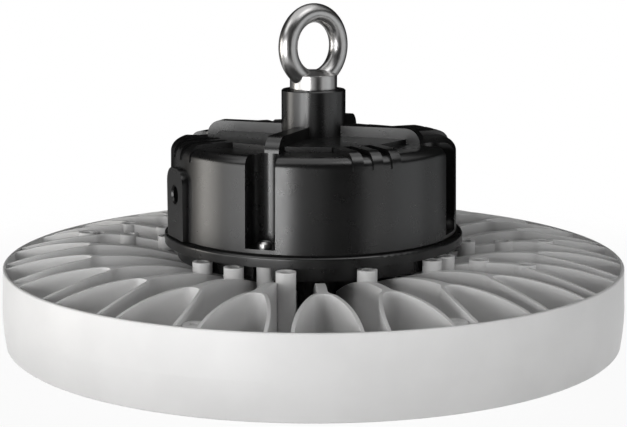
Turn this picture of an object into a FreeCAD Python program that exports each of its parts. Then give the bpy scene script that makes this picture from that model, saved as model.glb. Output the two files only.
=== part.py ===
# High bay light: a die-cast heat sink with forked fins, a round driver box on top and a lifting eye.
# Millimetres, +Z up. The origin is the centre of the rim's foot, and the ribs of the cover lie on X and Y.
import FreeCAD, Part
import os
from math import atan2, cos, hypot, pi, radians, sin, sqrt

# Heat sink: rim, widest at its waist, and base plate
rim_height = 41.0
rim_radius = 165.4
rim_waist_height = 19.0
rim_top_inset = 0.8
rim_foot_inset = 1.3
rim_edge = 0.5
rim_wall = 3.0
rim_top_wall = 1.5
rim_wall_taper = 2.7
plate_thickness = 4.0

# Heat sink: fins, each a stem that forks into two walls
fin_count = 24
fin_wall = 1.8
fin_stem_thickness = 4.4
fin_stem_gap = 1.0
fin_fork_radius = 120.0
fin_fork_tip_radius = 4.8
fin_fork_half_angle = 23.0
fin_fork_mouth = 29.0
fin_root_fillet = 8.0
fin_crest_radius = 115.0
fin_crest_rise = 7.0
fin_inner_drop = 10.0
fin_rim_drop = 0.4

# Heat sink: bosses, posts, screw blocks and wire duct
tall_boss_radius = 5.0
tall_boss_gap = 1.0
tall_boss_azimuths = (-154.0, -11.3, 109.0, 161.5)
inner_boss_gap = 1.0
inner_boss_drop = 1.2
inner_boss_azimuths = (-129.8, -78.7, -69.8, -39.8, 9.7, 24.7, 140.2)
low_boss_radius = 5.1
low_boss_rows = {-8: (82.5, 103.0, 125.0), -6: (95.5, 120.5), 5: (82.5, 104.5, 129.0), 6: (95.5, 119.5)}
low_boss_rise = 7.3
boss_hole_radius = 3.0
boss_hole_depth = 9.0
post_radius = 4.2
block_width = 12.6
block_length = 9.0
block_drop = 1.5
block_count = 8
duct_inner_radius = 9.5
duct_wall = 3.5
duct_gap = 1.5

# Driver base
base_rise = 2.0
base_spigot_inset = 6.7
base_spigot_height = 7.75
base_spigot_wall = 11.0
flange_radius = 79.7
flange_thickness = 5.45
flange_edge_radius = 1.4
base_floor = 3.0
pedestal_inset = 17.0
pedestal_draft = 2.0
pedestal_wall = 3.0
post_notch_clearance = 1.0
pillar_radius = 4.0
pillar_height = 9.0
pillar_inset = 9.0
pillar_hole_depth = 5.0

# Bush for the leads, between the heat sink's duct and the base
grommet_hole_radius = 9.0
grommet_wall = 3.5
grommet_seat = 2.75
grommet_flange = 1.5

# Seal in the seam of the driver box
gasket_thickness = 0.7
gasket_inset = 1.4
gasket_width = 3.5
gasket_margin = 0.5

# Cover of the driver box
cover_foot_inset = 3.3
cover_draft = 0.7
cover_height = 47.6
cover_shoulder_fillet = 5.5
cover_wall = 2.6
cover_top_thickness = 3.0
plateau_inset = 22.2
plateau_rise = 2.5
plateau_sides = 12
finger_width = 5.5
finger_pitch = 10.5
finger_proud = 0.75
finger_root = 6.5
finger_fillet = 8.0
finger_foot_drop = 6.5
rib_width = 7.6
rib_rise = 8.0
hub_radius = 17.0
hub_rise = 26.5
hub_edge = 0.6
slot_radius = 8.0
slot_inset = 7.7
slot_floor = 1.9
slot_wall = 2.5
lug_width = 23.0
lug_proud = 2.2
lug_top_margin = 13.7
lug_corner_radius = 8.0
lug_azimuths = (45.0, 225.0)
lug_hole_rise = 22.9
lug_hole_radius = 4.25
lug_mouth_radius = 5.1
lug_hole_depth = 12.0
lug_boss_radius = 9.0
lug_boss_floor = 2.0

# Lifting eye and its seal
eye_outer_radius = 22.5
eye_bar_radius = 5.0
eye_turn = 61.1
collar_radius = 12.5
collar_height = 7.5
shank_radius = 5.0
shank_length = 17.0
shank_point = 0.8
shank_clearance = 0.1
shank_room = 3.0
seal_inner_radius = 7.5
seal_width = 2.5
seal_depth = 1.2

# Cable gland on the cover's back
gland_azimuth = 135.0
gland_rise = 24.0
gland_pad_width = 32.0
gland_pad_depth = 9.6
gland_thread_radius = 10.0
gland_hex = 24.0
gland_hex_length = 5.0
gland_barrel_radius = 9.2
gland_barrel_length = 10.0
gland_nut_hex = 24.0
gland_nut_length = 15.0
gland_dome_length = 4.0
gland_mouth_radius = 6.0
gland_mouth_rim = 2.0
gland_seal_radius = 6.6
gland_seal_bore = 4.0
gland_seal_length = 10.5
gland_seal_proud = 1.5
gland_neck_bore = 5.5
gland_neck_length = 17.0
locknut_hex = 25.0
locknut_thickness = 4.0
gland_clearance = 0.15

# Screws
cover_screw_radius = 2.0
cover_screw_head_radius = 3.6
cover_screw_head_height = 3.0
cover_screw_depth = 12.0
cover_screw_offset = 1.5
lens_screw_radius = 1.6
lens_screw_head_radius = 3.1
lens_screw_head_height = 2.0
lens_screw_depth = 14.0
lens_screw_inset = 3.7
small_screw_radius = 1.4
small_screw_head_radius = 2.6
small_screw_head_height = 1.8
small_screw_depth = 3.0
screw_clearance = 0.15
screw_tip_gap = 0.5
head_chamfer_share = 0.35
recess_width_share = 0.4
recess_depth_share = 0.5

# Light source and lens, from the base plate down to the rim's foot
pad_thickness = 0.4
pad_margin = 2.0
board_thickness = 1.6
led_board_margin = 5.0
led_board_hole_radius = 5.0
led_size = 5.0
led_height = 1.0
led_counts = (24, 16, 8)
led_edge_gap = 18.0
led_row_pitch = 38.5
led_screw_turn = 15.0
lens_room = 3.2
lens_sheet = 2.0
lens_lip_width = 5.0
lens_gasket_thickness = 1.2
lens_gasket_margin = 0.5
lens_ring_sheet = 1.4
lens_ring_wall = 10.3
lens_ring_lip = 5.4
lens_clearance = 0.4
lens_foot_gap = 0.4
connector_length = 18.0
connector_width = 11.0
connector_height = 2.4

# Driver board and what stands on it
driver_board_gap = 3.4
driver_board_corner = 12.0
lead_radius = 1.1
lead_offset = 2.2
transformer_core = (34.0, 15.0, 28.0)
transformer_winding = (23.0, 30.0, 20.0)
transformer_foot = (27.0, 33.0, 3.4)
transformer_place = (-2.0, 24.0)
choke_radius = 10.0
choke_bore = 4.0
choke_height = 12.0
choke_place = (-33.0, -12.0)
capacitor_radius = 9.0
capacitor_height = 32.0
capacitor_places = ((24.0, -2.0), (24.0, 18.5))
film_size = (8.0, 24.0, 16.0)
film_place = (-10.0, -18.0)
coil_radius = 8.0
coil_bore = 3.2
coil_height = 10.0
coil_place = (6.0, -19.0)
winding_edge = 1.0
heat_plate_size = (3.0, 40.0, 24.0)
heat_plate_inset = 6.0
heat_plate_shift = 4.0
fuse_radius = 2.6
fuse_length = 20.0
fuse_place = (-31.0, 14.0)
terminal_size = (30.0, 12.0, 13.0)
terminal_inset = 9.0
terminal_shift = -4.0
terminal_ways = 3
terminal_mouth = 5.0
terminal_mouth_rise = 2.6
terminal_mouth_depth = 7.0

# Heights that follow from the values above
lens_bottom = lens_foot_gap + lens_screw_head_height + lens_ring_sheet
led_board_bottom = lens_bottom + lens_sheet + lens_room
led_board_top = led_board_bottom + board_thickness
plate_bottom = led_board_top + pad_thickness
lens_ring_bottom = lens_bottom - lens_ring_sheet
plate_top = plate_bottom + plate_thickness
base_bottom = rim_height + base_rise
flange_bottom = base_bottom + base_spigot_height
flange_top = flange_bottom + flange_thickness
cover_bottom = flange_top + gasket_thickness
cover_top = cover_bottom + cover_height
plateau_top = cover_top + plateau_rise
hub_top = cover_top + hub_rise
slot_floor_top = cover_bottom + slot_floor
lug_axis = cover_bottom + lug_hole_rise
gland_axis = cover_bottom + gland_rise
duct_top = base_bottom - duct_gap
pillar_top = base_bottom + base_floor + pillar_height
driver_board_top = pillar_top + board_thickness

# Radii and places that follow from the values above
rim_top_radius = rim_radius - rim_top_inset
rim_foot_radius = rim_radius - rim_foot_inset
rim_inner_radius = rim_top_radius - rim_top_wall
lens_ring_outer_radius = rim_foot_radius - rim_wall - lens_clearance
lens_ring_inner_radius = lens_ring_outer_radius - lens_ring_wall
lens_screw_place = lens_ring_outer_radius - lens_screw_inset
lens_radius = lens_ring_inner_radius - lens_clearance
led_board_radius = lens_radius - lens_lip_width - led_board_margin
led_screw_place = led_board_radius - led_edge_gap - led_row_pitch / 2
duct_outer_radius = duct_inner_radius + duct_wall
base_spigot_radius = flange_radius - base_spigot_inset
base_cavity_radius = base_spigot_radius - base_spigot_wall
pedestal_top_radius = base_cavity_radius - pedestal_inset
pedestal_foot_radius = pedestal_top_radius - pedestal_draft
cover_foot_radius = flange_radius - cover_foot_inset
cover_shoulder_radius = cover_foot_radius - cover_draft
plateau_radius = cover_shoulder_radius - plateau_inset
slot_place = cover_shoulder_radius - slot_inset
post_place = slot_place + cover_screw_offset
tall_boss_place = flange_radius + tall_boss_gap + tall_boss_radius
inner_boss_place = base_spigot_radius + inner_boss_gap + tall_boss_radius
fin_stem_start = pedestal_top_radius + fin_stem_gap
lug_face = cover_foot_radius + lug_proud
gland_inner_face = lug_face - gland_pad_depth
gland_barrel_start = lug_face + gland_hex_length
gland_barrel_end = gland_barrel_start + gland_barrel_length
gland_seal_end = gland_barrel_end + gland_seal_proud
gland_seal_start = gland_seal_end - gland_seal_length
board_reach = base_cavity_radius - driver_board_gap
board_half = (driver_board_corner + sqrt(2 * board_reach ** 2 - driver_board_corner ** 2)) / 2
pillar_place = board_half - pillar_inset

# A cutting tool runs this far past the faces that it opens
past = 1.0
quarter_turns = (0.0, 90.0, 180.0, 270.0)
diagonals = (45.0, 135.0, 225.0, 315.0)
half_bend = 1 - cos(radians(45))

Vector = FreeCAD.Vector
UP = Vector(0, 0, 1)
CENTRE = Vector(0, 0, 0)


def turned(start, *steps):
    """Solid of revolution about Z. A step of two numbers is a straight line to that radius and
    height, and a step of four is an arc through its first pair to its second pair."""
    edges = []
    here = Vector(start[0], 0, start[1])
    for step in steps + (start,):
        there = Vector(step[-2], 0, step[-1])
        if len(step) == 4:
            edges.append(Part.Arc(here, Vector(step[0], 0, step[1]), there).toShape())
        else:
            edges.append(Part.LineSegment(here, there).toShape())
        here = there
    return Part.Face(Part.Wire(edges)).revolve(CENTRE, UP, 360)


def ring(inner, outer, low, high):
    return turned((inner, low), (outer, low), (outer, high), (inner, high))


def rod(radius, low, high, x=0.0, y=0.0):
    return Part.makeCylinder(radius, high - low, Vector(x, y, low))


def block(length, width, low, high, x=0.0, y=0.0):
    """Upright block centred on x and y."""
    return Part.makeBox(length, width, high - low, Vector(x - length / 2, y - width / 2, low))


def prism(points, low, high):
    wire = Part.makePolygon([Vector(x, y, low) for x, y in points + points[:1]])
    return Part.Face(wire).extrude(Vector(0, 0, high - low))


def regular_prism(reach, sides, low, high):
    """Prism on a regular polygon, with a corner on +X at that reach."""
    steps = [2 * pi * k / sides for k in range(sides)]
    return prism([(reach * cos(a), reach * sin(a)) for a in steps], low, high)


def hexagon(across_flats, low, high):
    return regular_prism(across_flats / sqrt(3), 6, low, high)


def at_azimuth(shape, azimuth):
    """Turn a shape drawn on +X to an azimuth counted from -Y towards -X."""
    copy = shape.copy()
    copy.rotate(CENTRE, UP, -90.0 - azimuth)
    return copy


def outward(shape, azimuth, height):
    """Lay a shape drawn up the Z axis along the radius at that azimuth and height."""
    copy = shape.copy()
    copy.rotate(CENTRE, Vector(0, 1, 0), 90)
    copy.translate(Vector(0, 0, height))
    return at_azimuth(copy, azimuth)


def joined(shapes):
    return shapes[0].multiFuse(shapes[1:]).removeSplitter() if len(shapes) > 1 else shapes[0]


def screw(shank, head_radius, head_height, length, seat):
    """Pan head screw standing head up on its seat, with a square driver recess."""
    top = seat + head_height
    edge = head_height * head_chamfer_share
    body = turned((0, seat - length), (shank, seat - length), (shank, seat), (head_radius, seat),
                  (head_radius, top - edge), (head_radius - edge, top), (0, top))
    width = 2 * head_radius * recess_width_share
    recess = block(width, width, top - head_height * recess_depth_share, top + past)
    return body.cut(recess)


def upside_down(shape, height):
    copy = shape.copy()
    copy.rotate(Vector(0, 0, height), Vector(1, 0, 0), 180)
    return copy


def petal_outline(grow):
    """Outline of a petal's pocket on +X, grown all round. Each side is an arc that runs on from the
    round tip to the rim."""
    centre = fin_fork_radius + fin_fork_tip_radius
    slope = radians(fin_fork_half_angle)
    reach = rim_inner_radius + rim_top_wall / 2
    touch_x = centre - fin_fork_tip_radius * sin(slope)
    touch_y = fin_fork_tip_radius * cos(slope)
    run = rim_inner_radius - touch_x
    widening = fin_fork_mouth / 2 - touch_y
    bend = hypot(run, widening) / (2 * sin(slope - atan2(widening, run)))
    side_x = touch_x + bend * sin(slope)
    side_y = touch_y - bend * cos(slope)
    points = []
    for x in (centre - (fin_fork_tip_radius + grow) * sin(slope), (touch_x + reach) / 2, reach):
        points.append(Vector(x, side_y + sqrt((bend + grow) ** 2 - (x - side_x) ** 2), 0))
    touch, middle, far = points
    mirrored = [Vector(point.x, -point.y, 0) for point in points]
    tip = Vector(fin_fork_radius - grow, 0, 0)
    edges = [Part.Arc(far, middle, touch).toShape(),
             Part.Arc(touch, tip, mirrored[0]).toShape(),
             Part.Arc(mirrored[0], mirrored[1], mirrored[2]).toShape(),
             Part.LineSegment(mirrored[2], far).toShape()]
    return Part.Face(Part.Wire(edges))


def one_fin():
    """Fin on +X: a stem that forks into two walls, trimmed to the arch of the fin tops."""
    low = plate_top - plate_thickness / 2
    crest = rim_height + fin_crest_rise
    height = crest + past - low
    lift = Vector(0, 0, height)
    petal = petal_outline(fin_wall)
    petal.translate(Vector(0, 0, low))
    petal = petal.extrude(lift)
    stem = Part.makeBox(fin_fork_radius - fin_stem_start, fin_stem_thickness, height,
                        Vector(fin_stem_start, -fin_stem_thickness / 2, low))
    whole = petal.fuse(stem).removeSplitter()
    corners = []
    for edge in whole.Edges:
        middle = edge.CenterOfMass
        upright = abs(edge.BoundBox.ZLength - height) < 0.01
        beside_stem = abs(abs(middle.y) - fin_stem_thickness / 2) < 0.01
        if upright and beside_stem and middle.x > fin_stem_start + past:
            corners.append(edge)
    whole = whole.makeFillet(fin_root_fillet, corners)
    pocket = petal_outline(0.0)
    pocket.translate(Vector(0, 0, plate_top))
    whole = whole.cut(pocket.extrude(lift))
    rim_end = rim_inner_radius + rim_top_wall / 2
    rim_side = rim_height - fin_rim_drop
    arch = turned((fin_stem_start - past, low - past), (rim_end, low - past), (rim_end, rim_side),
                  (rim_inner_radius, rim_side),
                  (fin_crest_radius, crest, fin_stem_start - past, rim_height - fin_inner_drop))
    return whole.common(arch)


def petal_azimuth(number):
    """Azimuth of a petal, which lie half a pitch either side of the ribs."""
    return (number + 0.5) * 360.0 / fin_count


def boss(radius, place, top, azimuth):
    """Round boss on the base plate and the blind hole in its top."""
    post = rod(radius, plate_top, top, place)
    hole = rod(boss_hole_radius, top - boss_hole_depth, top + past, place)
    return at_azimuth(post, azimuth), at_azimuth(hole, azimuth)


def heat_sink():
    body = turned((rim_foot_radius - rim_wall, 0), (rim_foot_radius - rim_edge, 0),
                  (rim_foot_radius, rim_edge),
                  (rim_radius - rim_foot_inset / 4, rim_waist_height / 2, rim_radius, rim_waist_height),
                  (rim_top_radius, rim_height - rim_edge), (rim_top_radius - rim_edge, rim_height),
                  (rim_inner_radius, rim_height), (rim_inner_radius - rim_wall_taper, plate_top),
                  (0, plate_top), (0, plate_bottom), (rim_foot_radius - rim_wall, plate_bottom))
    parts = [body, rod(duct_outer_radius, plate_top, duct_top)]
    holes = [rod(duct_inner_radius, plate_bottom - past, duct_top + past)]
    fin = one_fin()
    for number in range(fin_count):
        parts.append(at_azimuth(fin, petal_azimuth(number)))
    bosses = [boss(tall_boss_radius, tall_boss_place, flange_bottom, azimuth)
              for azimuth in tall_boss_azimuths]
    bosses += [boss(tall_boss_radius, inner_boss_place, flange_bottom - inner_boss_drop, azimuth)
               for azimuth in inner_boss_azimuths]
    bosses += [boss(low_boss_radius, place, rim_height + low_boss_rise, petal_azimuth(number))
               for number, places in low_boss_rows.items() for place in places]
    for post, hole in bosses:
        parts.append(post)
        holes.append(hole)
    for azimuth in quarter_turns:
        parts.append(at_azimuth(rod(post_radius, plate_top, flange_bottom, post_place), azimuth))
        depth = cover_screw_depth + screw_tip_gap
        hole = rod(cover_screw_radius, flange_bottom - depth, flange_bottom + past, post_place)
        holes.append(at_azimuth(hole, azimuth))
        hole = rod(small_screw_radius, plate_bottom - past, plate_bottom + small_screw_depth, led_screw_place)
        holes.append(at_azimuth(hole, azimuth + led_screw_turn))
    for number in range(block_count):
        azimuth = number * 360.0 / block_count
        middle = rim_inner_radius + past - block_length / 2
        pad = block(block_length, block_width, plate_top, rim_height - block_drop, middle)
        parts.append(at_azimuth(pad, azimuth))
        hole = rod(lens_screw_radius, plate_bottom - past, plate_bottom + lens_screw_depth, lens_screw_place)
        holes.append(at_azimuth(hole, azimuth))
    return joined(parts).cut(Part.makeCompound(holes)).removeSplitter()


def driver_base():
    """Dished base with its flange and pedestal, notched for the heat sink's four posts."""
    edge = flange_edge_radius
    bend = edge * half_bend
    cavity_floor = base_bottom + base_floor
    pedestal_inner = pedestal_foot_radius - pedestal_wall
    body = turned((grommet_hole_radius, base_bottom), (pedestal_inner, base_bottom),
                  (pedestal_inner, plate_top), (pedestal_foot_radius, plate_top),
                  (pedestal_top_radius, base_bottom), (base_spigot_radius, base_bottom),
                  (base_spigot_radius, flange_bottom), (flange_radius, flange_bottom),
                  (flange_radius, flange_top - edge),
                  (flange_radius - bend, flange_top - bend, flange_radius - edge, flange_top),
                  (base_cavity_radius, flange_top), (base_cavity_radius, cavity_floor),
                  (grommet_hole_radius, cavity_floor))
    notch_radius = post_radius + post_notch_clearance
    notch_length = base_spigot_radius + past - post_place
    cuts = []
    for azimuth in quarter_turns:
        notch = rod(notch_radius, base_bottom - past, flange_bottom, post_place)
        opening = block(notch_length, 2 * notch_radius, base_bottom - past, flange_bottom,
                        post_place + notch_length / 2)
        cuts.append(at_azimuth(notch.fuse(opening), azimuth))
        hole = rod(cover_screw_radius + screw_clearance, flange_bottom - past, flange_top + past, post_place)
        cuts.append(at_azimuth(hole, azimuth))
    pillars = []
    for x, y in pillar_points():
        pillars.append(rod(pillar_radius, base_bottom + base_floor / 2, pillar_top, x, y))
        cuts.append(rod(small_screw_radius, pillar_top - pillar_hole_depth, pillar_top + past, x, y))
    return joined([body] + pillars).cut(Part.makeCompound(cuts))


def pillar_points():
    return [(x, y) for x in (-pillar_place, pillar_place) for y in (-pillar_place, pillar_place)]


def slot_tool(grow, low, high):
    """Upright U along +X, round at its inner end, that runs out through the wall."""
    radius = slot_radius + grow
    length = flange_radius - slot_place
    straight = block(length, 2 * radius, low, high, slot_place + length / 2)
    return rod(radius, low, high, slot_place).fuse(straight).removeSplitter()


def cover_gasket():
    outer = cover_foot_radius - gasket_inset
    pads = [ring(outer - gasket_width, outer, flange_top, cover_bottom)]
    land = ring(base_cavity_radius + gasket_margin, outer, flange_top, cover_bottom)
    cuts = []
    for azimuth in quarter_turns:
        pad = slot_tool(slot_wall - gasket_margin, flange_top, cover_bottom)
        pads.append(at_azimuth(pad, azimuth).common(land))
        hole = rod(cover_screw_radius + screw_clearance, flange_top - past, cover_bottom + past, post_place)
        cuts.append(at_azimuth(hole, azimuth))
    return joined(pads).cut(Part.makeCompound(cuts))


def round_shouldered(foot, shoulder, fillet, low, high):
    """Drum with a rounded upper edge."""
    bend = fillet * half_bend
    return turned((0, low), (foot, low), (shoulder, high - fillet),
                  (shoulder - bend, high - bend, shoulder - fillet, high), (0, high))


def lug(width, height, depth):
    """Flat-faced pad on +X, from the cover's foot up, with rounded upper corners."""
    half = width / 2
    corner = lug_corner_radius
    low = cover_bottom
    high = cover_bottom + height
    bend = corner * half_bend
    edges = [Part.LineSegment(Vector(0, -half, low), Vector(0, half, low)).toShape(),
             Part.LineSegment(Vector(0, half, low), Vector(0, half, high - corner)).toShape(),
             Part.Arc(Vector(0, half, high - corner), Vector(0, half - bend, high - bend),
                      Vector(0, half - corner, high)).toShape(),
             Part.LineSegment(Vector(0, half - corner, high), Vector(0, corner - half, high)).toShape(),
             Part.Arc(Vector(0, corner - half, high), Vector(0, bend - half, high - bend),
                      Vector(0, -half, high - corner)).toShape(),
             Part.LineSegment(Vector(0, -half, high - corner), Vector(0, -half, low)).toShape()]
    pad = Part.Face(Part.Wire(edges)).extrude(Vector(depth, 0, 0))
    pad.translate(Vector(lug_face - depth, 0, 0))
    return pad


def rib():
    """Rib on +X from the axis to the slot, with a quarter-round end."""
    low = cover_top - cover_top_thickness / 2
    high = cover_top + rib_rise
    reach = slot_place - slot_radius
    bend = rib_rise * half_bend
    half = rib_width / 2
    edges = [Part.LineSegment(Vector(0, -half, low), Vector(reach, -half, low)).toShape(),
             Part.LineSegment(Vector(reach, -half, low), Vector(reach, -half, cover_top)).toShape(),
             Part.Arc(Vector(reach, -half, cover_top), Vector(reach - bend, -half, high - bend),
                      Vector(reach - rib_rise, -half, high)).toShape(),
             Part.LineSegment(Vector(reach - rib_rise, -half, high), Vector(0, -half, high)).toShape(),
             Part.LineSegment(Vector(0, -half, high), Vector(0, -half, low)).toShape()]
    return Part.Face(Part.Wire(edges)).extrude(Vector(0, rib_width, 0))


def finger(place):
    """Bar on +X from the plateau out over the shoulder, rounded down to the wall."""
    outer = cover_shoulder_radius + finger_proud
    foot = cover_top - finger_foot_drop
    envelope = round_shouldered(outer, outer, finger_fillet, foot, plateau_top)
    start = plateau_radius - finger_root
    bar = block(outer - start, finger_width, foot, plateau_top, (outer + start) / 2, place)
    return bar.common(envelope)


def driver_cover():
    shell = round_shouldered(cover_foot_radius, cover_shoulder_radius, cover_shoulder_fillet,
                             cover_bottom, cover_top)
    plateau = regular_prism(plateau_radius, plateau_sides, cover_top - cover_top_thickness / 2, plateau_top)
    hub = turned((0, cover_top - past), (hub_radius, cover_top - past), (hub_radius, hub_top - hub_edge),
                 (hub_radius - hub_edge, hub_top), (0, hub_top))
    parts = [shell, plateau, hub]
    for azimuth in diagonals:
        for place in (-finger_pitch, 0.0, finger_pitch):
            parts.append(at_azimuth(finger(place), azimuth))
    for azimuth in quarter_turns:
        parts.append(at_azimuth(rib(), azimuth))
    for azimuth in lug_azimuths:
        parts.append(at_azimuth(lug(lug_width, lug_hole_rise + lug_top_margin, lug_hole_depth), azimuth))
    gland_pad = lug(gland_pad_width, gland_rise + gland_pad_width / 2, gland_pad_depth)
    parts.append(at_azimuth(gland_pad, gland_azimuth))
    outside = joined(parts)

    ceiling = cover_top - cover_top_thickness
    cavity = turned((0, cover_bottom), (cover_foot_radius - cover_wall, cover_bottom),
                    (cover_shoulder_radius - cover_wall, ceiling), (0, ceiling))
    kept = [at_azimuth(slot_tool(slot_wall, cover_bottom, ceiling), azimuth) for azimuth in quarter_turns]
    for azimuth in lug_azimuths:
        stub = rod(lug_boss_radius, lug_face - lug_hole_depth - lug_boss_floor, lug_face)
        kept.append(outward(stub, azimuth, lug_axis))
    inner_pad = block(cover_foot_radius - gland_inner_face, gland_pad_width, cover_bottom, ceiling,
                      (cover_foot_radius + gland_inner_face) / 2)
    kept.append(at_azimuth(inner_pad, gland_azimuth))

    cuts = [cavity.cut(Part.makeCompound(kept))]
    for azimuth in quarter_turns:
        cuts.append(at_azimuth(slot_tool(0.0, slot_floor_top, cover_top + past), azimuth))
        hole = rod(cover_screw_radius + screw_clearance, cover_bottom - past, slot_floor_top + past,
                   post_place)
        cuts.append(at_azimuth(hole, azimuth))
    for azimuth in lug_azimuths:
        bore = rod(lug_hole_radius, lug_face - lug_hole_depth, lug_face + past)
        flare = lug_mouth_radius - lug_hole_radius
        mouth = Part.makeCone(lug_hole_radius, lug_mouth_radius, flare, Vector(0, 0, lug_face - flare))
        cuts.append(outward(bore.fuse(mouth), azimuth, lug_axis))
    gland_hole = rod(gland_thread_radius + gland_clearance, gland_inner_face - past, lug_face + past)
    cuts.append(outward(gland_hole, gland_azimuth, gland_axis))
    cuts.append(rod(shank_radius + shank_clearance, hub_top - shank_length - shank_room, hub_top + past))
    cuts.append(ring(seal_inner_radius, seal_inner_radius + seal_width, hub_top - seal_depth, hub_top + past))
    for tool in cuts:
        outside = outside.cut(tool)
    return outside.removeSplitter()


def cover_screws():
    length = slot_floor_top - flange_bottom + cover_screw_depth
    one = screw(cover_screw_radius, cover_screw_head_radius, cover_screw_head_height, length, slot_floor_top)
    one.translate(Vector(post_place, 0, 0))
    return [at_azimuth(one, azimuth) for azimuth in quarter_turns]


def eye_bolt():
    """Eye, whose ring reaches down into the collar, and the shank below it."""
    centre = hub_top + eye_outer_radius
    bar_circle = eye_outer_radius - eye_bar_radius
    eye = Part.makeTorus(bar_circle, eye_bar_radius, Vector(0, 0, centre), Vector(0, 1, 0))
    crown = centre - bar_circle + eye_bar_radius
    shank_end = hub_top - shank_length
    stem = turned((0, shank_end), (shank_radius - shank_point, shank_end),
                  (shank_radius, shank_end + shank_point), (shank_radius, hub_top),
                  (collar_radius, hub_top), (collar_radius, hub_top + collar_height),
                  (eye_bar_radius, crown), (0, crown))
    whole = stem.fuse(eye).removeSplitter()
    whole.rotate(CENTRE, UP, eye_turn)
    return whole


def eye_bolt_seal():
    return ring(seal_inner_radius, seal_inner_radius + seal_width, hub_top - seal_depth, hub_top)


def wire_grommet():
    """Bush with a flange below and above the base's floor."""
    wide = duct_inner_radius + grommet_seat
    neck = grommet_hole_radius
    bore = neck - grommet_wall
    floor_top = base_bottom + base_floor
    top = floor_top + grommet_flange
    return turned((bore, duct_top), (wide, duct_top), (wide, base_bottom), (neck, base_bottom),
                  (neck, floor_top), (wide, floor_top), (wide, top), (bore, top))


def led_leads():
    return [rod(lead_radius, led_board_bottom, pillar_top, side * lead_offset) for side in (-1, 1)]


def driver_board():
    cut = board_half - driver_board_corner
    corners = [(board_half, -cut), (board_half, cut), (cut, board_half), (-cut, board_half),
               (-board_half, cut), (-board_half, -cut), (-cut, -board_half), (cut, -board_half)]
    board = prism(corners, pillar_top, driver_board_top)
    for x, y in pillar_points():
        hole = rod(small_screw_radius + screw_clearance, pillar_top - past, driver_board_top + past, x, y)
        board = board.cut(hole)
    return board


def board_screws():
    length = board_thickness + pillar_hole_depth - screw_tip_gap
    one = screw(small_screw_radius, small_screw_head_radius, small_screw_head_height, length,
                driver_board_top)
    screws = []
    for x, y in pillar_points():
        copy = one.copy()
        copy.translate(Vector(x, y, 0))
        screws.append(copy)
    return screws


def on_board(size, place):
    length, width, height = size
    return block(length, width, driver_board_top, driver_board_top + height, place[0], place[1])


def transformer():
    """Wound bobbin between two core halves that stand proud at both ends."""
    sizes = (transformer_core, transformer_winding, transformer_foot)
    return joined([on_board(size, transformer_place) for size in sizes])


def toroid(radius, bore, height, place):
    """Wound ring lying on the board."""
    low = driver_board_top
    top = low + height
    edge = winding_edge
    coil = turned((bore, low), (radius - edge, low), (radius, low + edge), (radius, top - edge),
                  (radius - edge, top), (bore, top))
    coil.translate(Vector(place[0], place[1], 0))
    return coil


def bulk_capacitors():
    cans = []
    top = driver_board_top + capacitor_height
    edge = winding_edge
    for x, y in capacitor_places:
        can = turned((0, driver_board_top), (capacitor_radius, driver_board_top),
                     (capacitor_radius, top - edge), (capacitor_radius - edge, top), (0, top))
        can.translate(Vector(x, y, 0))
        cans.append(can)
    return cans


def fuse_link():
    lying = Part.makeCylinder(fuse_radius, fuse_length, Vector(0, -fuse_length / 2, 0), Vector(0, 1, 0))
    lying.translate(Vector(fuse_place[0], fuse_place[1], driver_board_top + fuse_radius))
    return lying


def terminal_block():
    """Block by the board's edge, with a square mouth for each wire."""
    length, width, height = terminal_size
    y = terminal_inset - board_half
    body = on_board(terminal_size, (terminal_shift, y))
    pitch = length / terminal_ways
    low = driver_board_top + terminal_mouth_rise
    for way in range(terminal_ways):
        x = terminal_shift + (way - (terminal_ways - 1) / 2) * pitch
        mouth = block(terminal_mouth, 2 * terminal_mouth_depth, low, low + terminal_mouth, x, y - width / 2)
        body = body.cut(mouth)
    return body


def gland_body():
    """Threaded neck through the wall, a hexagon against the pad and a barrel that holds the seal."""
    neck_start = lug_face - gland_neck_length
    body = turned((gland_neck_bore, neck_start), (gland_thread_radius, neck_start),
                  (gland_thread_radius, lug_face), (gland_barrel_radius, lug_face),
                  (gland_barrel_radius, gland_barrel_end), (gland_seal_radius, gland_barrel_end),
                  (gland_seal_radius, gland_seal_start), (gland_neck_bore, gland_seal_start))
    collar = hexagon(gland_hex, lug_face, gland_barrel_start)
    collar = collar.cut(rod(gland_barrel_radius, lug_face - past, gland_barrel_start + past))
    return outward(body.fuse(collar).removeSplitter(), gland_azimuth, gland_axis)


def gland_nut():
    """Domed nut screwed over the barrel, which presses the seal round the cable."""
    end = gland_barrel_start + gland_nut_length
    outer = gland_nut_hex / sqrt(3)
    bore = gland_barrel_radius + gland_clearance
    envelope = turned((0, gland_barrel_start), (outer, gland_barrel_start), (outer, end - gland_dome_length),
                      (gland_mouth_radius + gland_mouth_rim, end), (0, end))
    inside = turned((0, gland_barrel_start - past), (bore, gland_barrel_start - past),
                    (bore, gland_barrel_end), (gland_seal_radius, gland_seal_end),
                    (gland_mouth_radius, gland_seal_end), (gland_mouth_radius, end + past), (0, end + past))
    nut = hexagon(gland_nut_hex, gland_barrel_start, end).common(envelope).cut(inside)
    return outward(nut, gland_azimuth, gland_axis)


def gland_seal():
    seal = ring(gland_seal_bore, gland_seal_radius, gland_seal_start, gland_seal_end)
    return outward(seal, gland_azimuth, gland_axis)


def gland_locknut():
    nut = hexagon(locknut_hex, gland_inner_face - locknut_thickness, gland_inner_face)
    nut = nut.cut(rod(gland_thread_radius + gland_clearance, 0, lug_face))
    return outward(nut, gland_azimuth, gland_axis)


def led_screw_holes(low, high):
    hole = rod(small_screw_radius + screw_clearance, low - past, high + past, led_screw_place)
    return Part.makeCompound([at_azimuth(hole, azimuth + led_screw_turn) for azimuth in quarter_turns])


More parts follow.
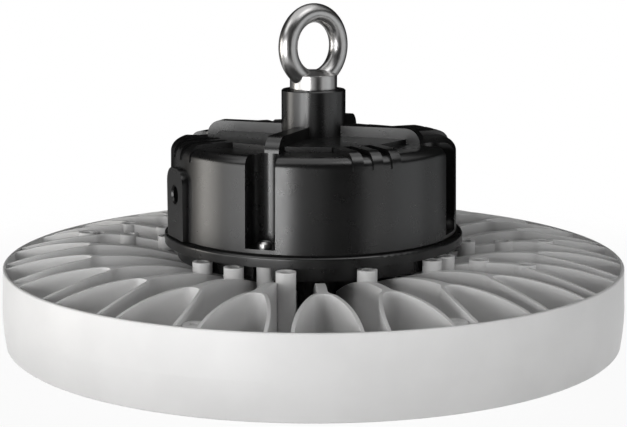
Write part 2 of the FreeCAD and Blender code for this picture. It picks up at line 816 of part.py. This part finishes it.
def thermal_pad():
    pad = ring(duct_inner_radius, led_board_radius - pad_margin, led_board_top, plate_bottom)
    return pad.cut(led_screw_holes(led_board_top, plate_bottom))


def led_board():
    board = ring(led_board_hole_radius, led_board_radius, led_board_bottom, led_board_top)
    return board.cut(led_screw_holes(led_board_bottom, led_board_top))


def leds():
    chips = []
    for row, count in enumerate(led_counts):
        place = led_board_radius - led_edge_gap - row * led_row_pitch
        chip = block(led_size, led_size, led_board_bottom - led_height, led_board_bottom, place)
        for k in range(count):
            chips.append(at_azimuth(chip, (k + 0.5) * 360.0 / count))
    return chips


def led_connector():
    return block(connector_length, connector_width, led_board_bottom - connector_height, led_board_bottom)


def led_board_screws():
    length = board_thickness + pad_thickness + small_screw_depth - screw_tip_gap
    one = screw(small_screw_radius, small_screw_head_radius, small_screw_head_height, length,
                led_board_bottom)
    one = upside_down(one, led_board_bottom)
    one.translate(Vector(led_screw_place, 0, 0))
    return [at_azimuth(one, azimuth + led_screw_turn) for azimuth in quarter_turns]


def lens_plate():
    """Shallow clear tray: a flat sheet with a raised lip all round."""
    lip_top = plate_bottom - lens_gasket_thickness
    sheet_top = lens_bottom + lens_sheet
    inner = lens_radius - lens_lip_width
    return turned((0, lens_bottom), (lens_radius, lens_bottom), (lens_radius, lip_top),
                  (inner, lip_top), (inner, sheet_top), (0, sheet_top))


def lens_gasket():
    inner = lens_radius - lens_lip_width + lens_gasket_margin
    return ring(inner, lens_radius - lens_gasket_margin, plate_bottom - lens_gasket_thickness, plate_bottom)


def lens_ring():
    """Clamping ring of L section, screwed up against the base plate."""
    lip = lens_ring_inner_radius - lens_ring_lip
    body = turned((lip, lens_ring_bottom), (lens_ring_outer_radius, lens_ring_bottom),
                  (lens_ring_outer_radius, plate_bottom), (lens_ring_inner_radius, plate_bottom),
                  (lens_ring_inner_radius, lens_bottom), (lip, lens_bottom))
    hole = rod(lens_screw_radius + screw_clearance, lens_ring_bottom - past, plate_bottom + past,
               lens_screw_place)
    holes = [at_azimuth(hole, number * 360.0 / block_count) for number in range(block_count)]
    return body.cut(Part.makeCompound(holes))


def lens_screws():
    length = plate_bottom - lens_ring_bottom + lens_screw_depth - screw_tip_gap
    one = screw(lens_screw_radius, lens_screw_head_radius, lens_screw_head_height, length, lens_ring_bottom)
    one = upside_down(one, lens_ring_bottom)
    one.translate(Vector(lens_screw_place, 0, 0))
    return [at_azimuth(one, number * 360.0 / block_count) for number in range(block_count)]


pieces = {
    "heat_sink": heat_sink(),
    "driver_base": driver_base(),
    "cover_gasket": cover_gasket(),
    "driver_cover": driver_cover(),
    "cover_screws": cover_screws(),
    "eye_bolt": eye_bolt(),
    "eye_bolt_seal": eye_bolt_seal(),
    "wire_grommet": wire_grommet(),
    "led_leads": led_leads(),
    "driver_board": driver_board(),
    "board_screws": board_screws(),
    "transformer": transformer(),
    "mains_choke": toroid(choke_radius, choke_bore, choke_height, choke_place),
    "bulk_capacitors": bulk_capacitors(),
    "film_capacitor": on_board(film_size, film_place),
    "output_coil": toroid(coil_radius, coil_bore, coil_height, coil_place),
    "switch_heat_plate": on_board(heat_plate_size, (board_half - heat_plate_inset, heat_plate_shift)),
    "fuse": fuse_link(),
    "terminal_block": terminal_block(),
    "gland_body": gland_body(),
    "gland_locknut": gland_locknut(),
    "gland_seal": gland_seal(),
    "gland_nut": gland_nut(),
    "thermal_pad": thermal_pad(),
    "led_board": led_board(),
    "leds": leds(),
    "led_connector": led_connector(),
    "led_board_screws": led_board_screws(),
    "lens_gasket": lens_gasket(),
    "lens_plate": lens_plate(),
    "lens_ring": lens_ring(),
    "lens_screws": lens_screws(),
}

os.makedirs("parts", exist_ok=True)
for name, shape in pieces.items():
    solid = Part.makeCompound(shape) if isinstance(shape, list) else shape
    solid.exportStep("parts/" + name + ".step")
    print(name, len(solid.Solids), "solids", round(solid.Volume), "mm3", solid.isValid())
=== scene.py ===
from math import cos, pi, radians, sin

import bmesh
import bpy
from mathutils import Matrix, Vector


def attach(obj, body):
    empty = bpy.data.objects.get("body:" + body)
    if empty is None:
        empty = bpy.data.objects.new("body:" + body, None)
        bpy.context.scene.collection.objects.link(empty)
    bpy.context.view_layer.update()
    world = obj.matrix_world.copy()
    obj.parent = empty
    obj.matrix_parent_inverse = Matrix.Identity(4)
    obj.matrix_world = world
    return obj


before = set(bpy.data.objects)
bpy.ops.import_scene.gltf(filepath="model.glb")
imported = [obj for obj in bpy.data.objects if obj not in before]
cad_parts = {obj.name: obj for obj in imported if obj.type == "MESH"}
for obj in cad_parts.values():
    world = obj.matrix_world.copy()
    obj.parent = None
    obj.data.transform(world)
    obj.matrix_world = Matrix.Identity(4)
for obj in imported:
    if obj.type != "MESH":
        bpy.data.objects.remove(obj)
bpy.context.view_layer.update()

# High bay light: a finned heat sink with the black driver box and the lifting eye on top of it, and the
# light sources and their lens underneath. Sizes are in metres, and the CAD nodes keep their own meshes.

# The heat sink is one die casting in aluminium: the rim, the base plate, twenty-four forked fins and
# the bosses. It is shot-blasted and powder coated in light grey, which keeps a faint orange peel.


class Tone:
    """A number, colour, vector or shader that varies over a surface: one output socket of a node."""

    def __init__(self, socket):
        self.socket = socket

    def node(self, kind, settings=(), inputs=(), output=0):
        """Add a node, with its settings first and then the values or links of its sockets."""
        tree = self.socket.id_data
        made = tree.nodes.new(kind)
        for name, value in dict(settings).items():
            setattr(made, name, value)
        for name, value in dict(inputs).items():
            if isinstance(value, Tone):
                tree.links.new(value.socket, made.inputs[name])
            else:
                made.inputs[name].default_value = value
        return Tone(made.outputs[output])

    def maths(self, operation, first, second):
        return self.node("ShaderNodeMath", {"operation": operation}, {0: first, 1: second})

    def __add__(self, other):
        return self.maths("ADD", self, other)

    def __radd__(self, other):
        return self.maths("ADD", other, self)

    def __mul__(self, other):
        return self.maths("MULTIPLY", self, other)

    def __rmul__(self, other):
        return self.maths("MULTIPLY", other, self)

    def band(self, low, high):
        """0 below low, 1 above high and a smooth step in between."""
        return self.node("ShaderNodeMapRange", {"interpolation_type": "SMOOTHSTEP"},
                         {"Value": self, "From Min": low, "From Max": high})

    def mix(self, first, second):
        """One colour where this tone is 0, the other where it is 1."""
        return self.node("ShaderNodeMix", {"data_type": "RGBA"}, {0: self, 6: first, 7: second}, output=2)

    def mix_shaders(self, first, second):
        """One shader where this tone is 0, the other where it is 1."""
        return self.node("ShaderNodeMixShader", {}, {0: self, 1: first, 2: second})

    def noise(self, size, detail=2.0):
        """Cloudy noise whose blobs are about that many metres across, read at this position."""
        return self.node("ShaderNodeTexNoise", {"noise_dimensions": "3D"},
                         {"Vector": self, "Scale": 1.0 / size, "Detail": detail})


def new_finish(name, **sockets):
    """A material and its shader, with what is the same all over set on the shader's own sockets."""
    material = bpy.data.materials.new(name)
    material.use_nodes = True
    shader = material.node_tree.nodes["Principled BSDF"]
    for socket, value in sockets.items():
        shader.inputs[socket.replace("_", " ")].default_value = value
    return material, shader


def place_on(shader):
    """Position in the object's own space, in metres, for this shader's textures."""
    return Tone(shader.outputs[0]).node("ShaderNodeTexCoord", output="Object")


def feed(shader, socket, tone):
    """Link a tone into a socket of a shader."""
    shader.id_data.links.new(tone.socket, shader.inputs[socket])


def grey(level, warmth=0.0):
    """A near-neutral colour, slightly warm or, below zero, slightly cool."""
    return (level * (1 + warmth), level, level * (1 - warmth), 1.0)


def raised(place, height, distance, edge=0.0):
    """Normals of a surface raised by a height tone times a distance, with its edges rounded."""
    inputs = {"Height": height, "Distance": distance}
    if edge:
        inputs["Normal"] = place.node("ShaderNodeBevel", {"samples": 8}, {"Radius": edge})
    return place.node("ShaderNodeBump", {}, inputs)


def coat(node, material):
    """Give a CAD node its finish."""
    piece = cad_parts[node]
    piece.data.materials.clear()
    piece.data.materials.append(material)


def powder_coat(name, light, dark, roughness, specular, grain_size, peel, edge=0.0):
    """Baked powder paint: slow clouding in the colour, fine orange peel and a slightly uneven gloss."""
    material, shader = new_finish(name, Specular_IOR_Level=specular)
    place = place_on(shader)
    clouding = place.noise(0.030, detail=3.0)
    feed(shader, "Base Color", clouding.band(0.35, 0.65).mix(dark, light))
    patches = place.noise(0.008)
    feed(shader, "Roughness", patches * 0.05 + (roughness - 0.025))
    feed(shader, "Normal", raised(place, place.noise(grain_size, detail=1.0), peel, edge))
    return material


cast_paint = powder_coat("light_grey_powder_coat", light=grey(0.78, 0.004), dark=grey(0.75, 0.004),
                         roughness=0.40, specular=0.5, grain_size=0.0012, peel=0.00002, edge=0.0004)
coat("heat_sink", cast_paint)

# Eight round posts stand on the base plate inside the rim, between two forks each, and take the screws of
# the lens ring from below. They are part of the casting, and end just below the top edge of the rim.
post_foot, post_top, post_radius, post_chamfer = 0.0150, 0.0402, 0.0056, 0.0004
dimple_radius, dimple_edge, dimple_depth = 0.0022, 0.0006, 0.0010
post_profile = [(0, post_foot), (post_radius, post_foot), (post_radius, post_top - post_chamfer),
                (post_radius - post_chamfer, post_top), (dimple_radius, post_top),
                (dimple_radius, post_top - dimple_edge), (0, post_top - dimple_depth)]
post_circle, post_count = 0.1535, 8


def round_pattern(radius, count, turn):
    """Places on a circle, the first at that share of a step past the front."""
    steps = [2 * pi * (k + turn) / count for k in range(count)]
    return [(-radius * sin(step), -radius * cos(step)) for step in steps]


def turned_piece(name, profile, places, material, around):
    """Like turned forms as one piece: a profile of radius and height, spun upright at each place."""
    mesh = bmesh.new()
    for x, y in places:
        rings = []
        for radius, height in profile:
            turns = [2 * pi * k / around for k in range(around)] if radius else [0.0]
            rings.append([mesh.verts.new((x + radius * cos(t), y + radius * sin(t), height)) for t in turns])
        for low, high in zip(rings, rings[1:]):
            for k in range(around):
                corners = [low[k % len(low)], low[(k + 1) % len(low)],
                           high[(k + 1) % len(high)], high[k % len(high)]]
                mesh.faces.new(list(dict.fromkeys(corners)))
    bmesh.ops.recalc_face_normals(mesh, faces=mesh.faces)
    data = bpy.data.meshes.new(name)
    mesh.to_mesh(data)
    mesh.free()
    data.shade_smooth()
    data.set_sharp_from_angle(angle=radians(40))
    data.materials.append(material)
    piece = bpy.data.objects.new(name, data)
    bpy.context.scene.collection.objects.link(piece)
    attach(piece, "root")


turned_piece("lens_screw_posts", post_profile, round_pattern(post_circle, post_count, 0),
             cast_paint, around=40)

# The driver box is a dished base and a deep cover, both die cast in aluminium and powder coated satin
# black. Four screws pull the cover down on the base, and a black seal fills the seam between them.
black_paint = powder_coat("satin_black_powder_coat", light=grey(0.005), dark=grey(0.004),
                          roughness=0.28, specular=0.7, grain_size=0.0010, peel=0.0000015)
coat("driver_base", black_paint)
coat("driver_cover", black_paint)


def rubber(name, colour):
    """Moulded rubber: matt, with a faint bloom on it."""
    material, shader = new_finish(name, Specular_IOR_Level=0.3)
    place = place_on(shader)
    bloom = place.noise(0.006, detail=3.0)
    feed(shader, "Base Color", bloom.band(0.3, 0.7).mix(grey(colour), grey(colour * 1.5)))
    feed(shader, "Roughness", bloom * 0.15 + 0.62)
    feed(shader, "Normal", raised(place, place.noise(0.0004, detail=1.0), 0.00002))
    return material


black_rubber = rubber("black_seal_rubber", 0.008)
for node in ("cover_gasket", "eye_bolt_seal", "wire_grommet", "gland_seal"):
    coat(node, black_rubber)

# The cover screws are zinc-plated pan head machine screws, driven down in the four slots of the cover.
# The same plated steel serves for the smaller screws of the two boards and of the lens ring.


def steel(name, colour, roughness, wear, edge=0.0):
    """Plated or polished steel with faint rubbing marks in its gloss."""
    material, shader = new_finish(name, Metallic=1.0)
    place = place_on(shader)
    marks = place.noise(0.004, detail=4.0)
    feed(shader, "Base Color", marks.band(0.3, 0.7).mix(grey(colour * 0.93, 0.01), grey(colour, 0.01)))
    feed(shader, "Roughness", marks * wear + roughness)
    feed(shader, "Normal", raised(place, place.noise(0.0006), 0.000006, edge))
    return material


screw_steel = steel("zinc_plated_steel", 0.62, roughness=0.22, wear=0.15)
for node in ("cover_screws", "board_screws", "led_board_screws", "lens_screws"):
    coat(node, screw_steel)

# The lifting eye is one drop forging in stainless steel, polished bright. Its shank is screwed into the
# hub of the cover until the collar sits on the hub's ring seal.
coat("eye_bolt", steel("polished_stainless_steel", 0.50, roughness=0.25, wear=0.08, edge=0.0006))

# The cable gland on the back of the cover is moulded in black polyamide: a body with a locknut inside
# the box, a seal and a domed nut that presses the seal round the mains cable.


def moulded(name, colour, roughness):
    """Moulded plastic or lacquered part with a fine even grain."""
    material, shader = new_finish(name, Specular_IOR_Level=0.5)
    place = place_on(shader)
    mottle = place.noise(0.003, detail=3.0)
    darker = tuple(0.88 * level for level in colour) + (1.0,)
    feed(shader, "Base Color", mottle.band(0.3, 0.7).mix(darker, colour + (1.0,)))
    feed(shader, "Roughness", mottle * 0.12 + (roughness - 0.06))
    feed(shader, "Normal", raised(place, place.noise(0.0005, detail=1.0), 0.00001))
    return material


black_plastic = moulded("black_polyamide", (0.012, 0.012, 0.012), 0.38)
for node in ("gland_body", "gland_nut", "gland_locknut"):
    coat(node, black_plastic)

# The driver board is screwed on pillars in the base of the box. It carries the wound parts, the
# capacitors, a glass fuse, a bare heat plate and the mains terminals, and two red leads run from it
# down through the heat sink to the light sources.


def clear(name, tint, roughness):
    """Clear plastic or glass, seen through, with a slight haze."""
    material, shader = new_finish(name, Transmission_Weight=1.0, IOR=1.49)
    haze = place_on(shader).noise(0.02)
    feed(shader, "Base Color", haze.band(0.3, 0.7).mix(tint, grey(0.97)))
    feed(shader, "Roughness", haze * 0.03 + roughness)
    return material


coat("driver_board", moulded("green_solder_mask", (0.02, 0.13, 0.05), 0.35))
coat("transformer", moulded("yellow_coil_tape", (0.60, 0.44, 0.08), 0.40))
for node in ("mains_choke", "output_coil"):
    coat(node, moulded("lacquered_winding_" + node, (0.42, 0.16, 0.05), 0.30))
coat("film_capacitor", moulded("film_capacitor_box", (0.50, 0.34, 0.05), 0.30))
coat("bulk_capacitors", moulded("capacitor_sleeve", (0.02, 0.02, 0.035), 0.25))
coat("switch_heat_plate", steel("bare_aluminium_sheet", 0.75, roughness=0.30, wear=0.15))
coat("fuse", clear("fuse_glass", grey(0.90), 0.02))
coat("terminal_block", moulded("grey_terminal_plastic", (0.42, 0.42, 0.43), 0.45))
coat("led_leads", moulded("red_lead_sleeve", (0.50, 0.03, 0.02), 0.40))

# Under the base plate lie the grey gap pad and the round metal-core board in white solder mask. It has
# forty-eight light sources soldered on in three rings and one connector in the middle. A clear silicone
# dome is moulded over each source.
coat("thermal_pad", rubber("grey_gap_pad", 0.28))
coat("led_board", moulded("white_solder_mask", (0.84, 0.84, 0.82), 0.35))
coat("leds", moulded("yellow_phosphor", (0.85, 0.66, 0.12), 0.30))
coat("led_connector", moulded("white_connector_plastic", (0.72, 0.70, 0.66), 0.40))
dome_base, dome_radius, dome_height, dome_steps = 0.0080, 0.0021, 0.0013, 6
dome_turns = [pi / 2 * step / dome_steps for step in range(dome_steps)]
dome_profile = [(0, dome_base)]
dome_profile += [(dome_radius * cos(t), dome_base - dome_height * sin(t)) for t in dome_turns]
dome_profile += [(0, dome_base - dome_height)]
led_rings = ((0.1220, 24), (0.0835, 16), (0.0450, 8))
led_places = [place for radius, count in led_rings for place in round_pattern(radius, count, 0.5)]
turned_piece("led_domes", dome_profile, led_places,
             clear("silicone_dome", grey(0.95), 0.02), around=24)

# The lens is one clear moulding in polycarbonate. A painted ring with eight screws holds it against a
# white silicone seal in the heat sink.
coat("lens_plate", clear("clear_polycarbonate", grey(0.93), 0.03))
coat("lens_gasket", rubber("white_silicone", 0.70))
coat("lens_ring", cast_paint)

# The studio has the camera of the photograph and soft boxes round the object, most of them low, where
# the upright walls mirror them. One card is there for gloss alone, and two fill boxes keep out of it.
camera_azimuth = radians(20.3)
camera_distance = 0.8034
camera_height = 0.2105
camera_pitch = radians(10.34)
towards_camera = Vector((sin(camera_azimuth), -cos(camera_azimuth), 0.0))
to_the_right = Vector((cos(camera_azimuth), sin(camera_azimuth), 0.0))

camera_data = bpy.data.cameras.new("camera")
camera_data.lens = 87.27
camera_data.sensor_width = 36.0
camera_data.clip_start = 0.01
camera = bpy.data.objects.new("camera", camera_data)
camera.location = towards_camera * camera_distance + Vector((0, 0, camera_height))
aim = -towards_camera * cos(camera_pitch) - Vector((0, 0, sin(camera_pitch)))
camera.rotation_euler = aim.to_track_quat("-Z", "Y").to_euler()
bpy.context.scene.collection.objects.link(camera)
bpy.context.scene.camera = camera

target = Vector((0, 0, 0.08))


def seen_from(angle, elevation, distance):
    """Place at an angle to the camera's own direction, with plus to the right, in degrees."""
    flat = towards_camera * cos(radians(angle)) + to_the_right * sin(radians(angle))
    return target + (flat * cos(radians(elevation)) + Vector((0, 0, sin(radians(elevation))))) * distance


def soft_box(name, angle, width, radiance, colour=(1.0, 1.0, 1.0),
             elevation=-2, distance=1.6, height=0.9):
    """Soft box that faces the object. Its power follows from its radiance and its area."""
    light = bpy.data.lights.new(name, "AREA")
    light.shape = "RECTANGLE"
    light.size = width
    light.size_y = height
    light.energy = radiance * pi * width * height
    light.color = colour
    box = bpy.data.objects.new(name, light)
    box.location = seen_from(angle, elevation, distance)
    box.rotation_euler = (target - box.location).to_track_quat("-Z", "Y").to_euler()
    box.visible_camera = False
    bpy.context.scene.collection.objects.link(box)
    return box


soft_box("left_soft_box", -88, 0.6, 3.2, (1.0, 0.975, 0.93))
soft_box("left_gloss_card", -96, 0.5, 1.6, (1.0, 0.95, 0.88), distance=1.55).visible_diffuse = False
soft_box("left_fill_box", -62, 0.6, 2.2)
soft_box("front_left_soft_box", -40, 0.5, 6.3)
soft_box("front_strip", -24, 0.14, 16.5)
soft_box("front_card", 0, 0.5, 0.7, height=0.3)
soft_box("right_card", 50, 0.6, 0.8)
soft_box("right_soft_box", 77, 0.85, 0.85, (0.97, 0.99, 1.0))
soft_box("right_edge_box", 106, 0.85, 0.42, (0.97, 0.99, 1.0))
soft_box("left_back_card", -131, 0.6, 0.2)
soft_box("overhead_soft_box", 60, 0.9, 1.6, elevation=55, distance=1.7)
soft_box("high_left_box", -60, 0.9, 1.7, elevation=45, distance=1.7)
soft_box("high_right_box", 95, 0.9, 0.5, elevation=45, distance=1.7)
soft_box("right_fill_box", 44, 0.8, 2.5).visible_glossy = False
soft_box("back_fill_box", 180, 1.2, 3.2).visible_glossy = False

# The floor is white paper that takes the object's shadow and fades out a hand's breadth past the rim.
# Seen by the camera, or by way of metal or glass, it is lifted close to white, to join the world behind.


def sheet_mesh(name, corners, material):
    """A flat four-cornered sheet of the studio."""
    mesh = bpy.data.meshes.new(name)
    mesh.from_pydata([tuple(c) for c in corners], [], [(0, 1, 2, 3)])
    mesh.materials.append(material)
    piece = bpy.data.objects.new(name, mesh)
    bpy.context.scene.collection.objects.link(piece)
    return piece


def level_square(half_width, height):
    """Corners of a level square sheet, centred under the object."""
    return [(x * half_width, y * half_width, height) for x, y in ((-1, -1), (1, -1), (1, 1), (-1, 1))]


def seen_directly(tone):
    """1 for what the camera sees, also by way of metal or glass, and 0 for what lights the object."""
    seen = 0.0
    for ray in ("Is Camera Ray", "Is Glossy Ray", "Is Transmission Ray"):
        seen = tone.maths("MAXIMUM", tone.node("ShaderNodeLightPath", output=ray), seen)
    return seen


glow_share, fade_start, fade_end = 0.93, 0.20, 0.42
floor_paper, floor_shader = new_finish("white_paper", Roughness=0.9, Specular_IOR_Level=0.0)
floor_place = place_on(floor_shader)
feed(floor_shader, "Base Color", floor_place.noise(0.05, detail=3.0).mix(grey(0.90), grey(0.91)))
glow = floor_place.node("ShaderNodeEmission")
lifted = (seen_directly(floor_place) * glow_share).mix_shaders(Tone(floor_shader.outputs[0]), glow)
from_centre = floor_place.node("ShaderNodeVectorMath", {"operation": "LENGTH"},
                               {0: floor_place}, output="Value")
see_through = floor_place.node("ShaderNodeBsdfTransparent")
faded = from_centre.band(fade_start, fade_end).mix_shaders(lifted, see_through)
feed(floor_paper.node_tree.nodes["Material Output"], "Surface", faded)
sheet_mesh("floor", level_square(1.5, 0), floor_paper)

# Black flags stand in a ring round the set and one lies below it. Only reflections show them: they give
# the gloss paint and the polished eye their dark stretches between the soft boxes.
flag_cloth, flag_shader = new_finish("black_flag_cloth", Roughness=1.0, Specular_IOR_Level=0.0)
feed(flag_shader, "Base Color", place_on(flag_shader).noise(0.02).mix(grey(0.004), grey(0.006)))
flag_distance, flag_width, flag_foot, flag_top, flag_count = 2.6, 2.16, -2.5, 3.6, 8


def hang_flag(name, corners):
    """Black cloth that only reflections show."""
    cloth = sheet_mesh(name, corners, flag_cloth)
    cloth.visible_camera = False
    cloth.visible_diffuse = False
    cloth.visible_transmission = False
    cloth.visible_shadow = False


for index in range(flag_count):
    angle = 360 * index / flag_count
    middle = seen_from(angle, 0, flag_distance)
    sideways = (seen_from(angle + 90, 0, 1.0) - target) * flag_width / 2
    left, right = middle - sideways, middle + sideways
    hang_flag("flag_%d" % index, [(left.x, left.y, flag_foot), (right.x, right.y, flag_foot),
                                  (right.x, right.y, flag_top), (left.x, left.y, flag_top)])
hang_flag("flag_below", level_square(3.0, -2.4))

# The world is plain white where it is seen, and almost dark where it lights the object, so that the
# soft boxes alone shape the light.
ambient = 0.02
world = bpy.data.worlds.new("studio")
world.use_nodes = True
bpy.context.scene.world = world
backdrop = world.node_tree.nodes["Background"]
backdrop.inputs["Color"].default_value = (1.0, 1.0, 1.0, 1.0)
feed(backdrop, "Strength", seen_directly(Tone(backdrop.outputs[0])) * (1.0 - ambient) + ambient)

bpy.context.scene.view_settings.view_transform = "Standard"
